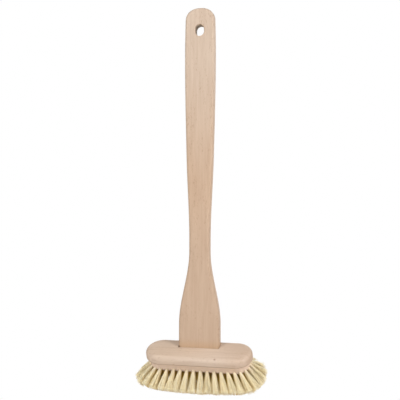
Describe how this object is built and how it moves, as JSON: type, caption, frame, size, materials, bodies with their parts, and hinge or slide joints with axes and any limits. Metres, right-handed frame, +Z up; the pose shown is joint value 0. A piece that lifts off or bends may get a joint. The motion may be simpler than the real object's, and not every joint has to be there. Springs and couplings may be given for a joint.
{
  "type": "bathtub brush",
  "caption": "Long-handled bathtub brush: a flat shaped wooden handle with a hang hole, set slantwise into an oblong head with fibre tufts that flare all round.",
  "frame": {"origin": "middle of the hang hole, halfway through the handle's thickness", "axes": "+Z up along the handle towards its rounded end, +X along the head towards its right end in the picture, -Y the front that the picture shows; the head's top leans towards -Y"},
  "size_m": [0.1494, 0.0656, 0.4234],
  "materials": {
    "handle_beech": "fine sanded, untreated",
    "head_beech": "fine sanded, untreated",
    "plant_fibre": "matt natural fibre"
  },
  "bodies": {
    "root": {"handle": "handle_beech", "head_block": "head_beech", "ring_tuft_01": "plant_fibre", "ring_tuft_02": "plant_fibre", "ring_tuft_03": "plant_fibre", "ring_tuft_04": "plant_fibre", "ring_tuft_05": "plant_fibre", "ring_tuft_06": "plant_fibre", "ring_tuft_07": "plant_fibre", "ring_tuft_08": "plant_fibre", "ring_tuft_09": "plant_fibre", "ring_tuft_10": "plant_fibre", "ring_tuft_11": "plant_fibre", "ring_tuft_12": "plant_fibre", "ring_tuft_13": "plant_fibre", "ring_tuft_14": "plant_fibre", "ring_tuft_15": "plant_fibre", "ring_tuft_16": "plant_fibre", "ring_tuft_17": "plant_fibre", "ring_tuft_18": "plant_fibre", "ring_tuft_19": "plant_fibre", "ring_tuft_20": "plant_fibre", "ring_tuft_21": "plant_fibre", "ring_tuft_22": "plant_fibre", "ring_tuft_23": "plant_fibre", "ring_tuft_24": "plant_fibre", "ring_tuft_25": "plant_fibre", "ring_tuft_26": "plant_fibre", "ring_tuft_27": "plant_fibre", "ring_tuft_28": "plant_fibre", "ring_tuft_29": "plant_fibre", "ring_tuft_30": "plant_fibre", "ring_tuft_31": "plant_fibre", "ring_tuft_32": "plant_fibre", "ring_tuft_33": "plant_fibre", "ring_tuft_34": "plant_fibre", "ring_tuft_35": "plant_fibre", "ring_tuft_36": "plant_fibre", "front_row_tuft_01": "plant_fibre", "front_row_tuft_02": "plant_fibre", "front_row_tuft_03": "plant_fibre", "front_row_tuft_04": "plant_fibre", "front_row_tuft_05": "plant_fibre", "front_row_tuft_06": "plant_fibre", "front_row_tuft_07": "plant_fibre", "front_row_tuft_08": "plant_fibre", "front_row_tuft_09": "plant_fibre", "front_row_tuft_10": "plant_fibre", "front_row_tuft_11": "plant_fibre", "back_row_tuft_01": "plant_fibre", "back_row_tuft_02": "plant_fibre", "back_row_tuft_03": "plant_fibre", "back_row_tuft_04": "plant_fibre", "back_row_tuft_05": "plant_fibre", "back_row_tuft_06": "plant_fibre", "back_row_tuft_07": "plant_fibre", "back_row_tuft_08": "plant_fibre", "back_row_tuft_09": "plant_fibre", "back_row_tuft_10": "plant_fibre", "back_row_tuft_11": "plant_fibre"}
  },
  "joints": []
}
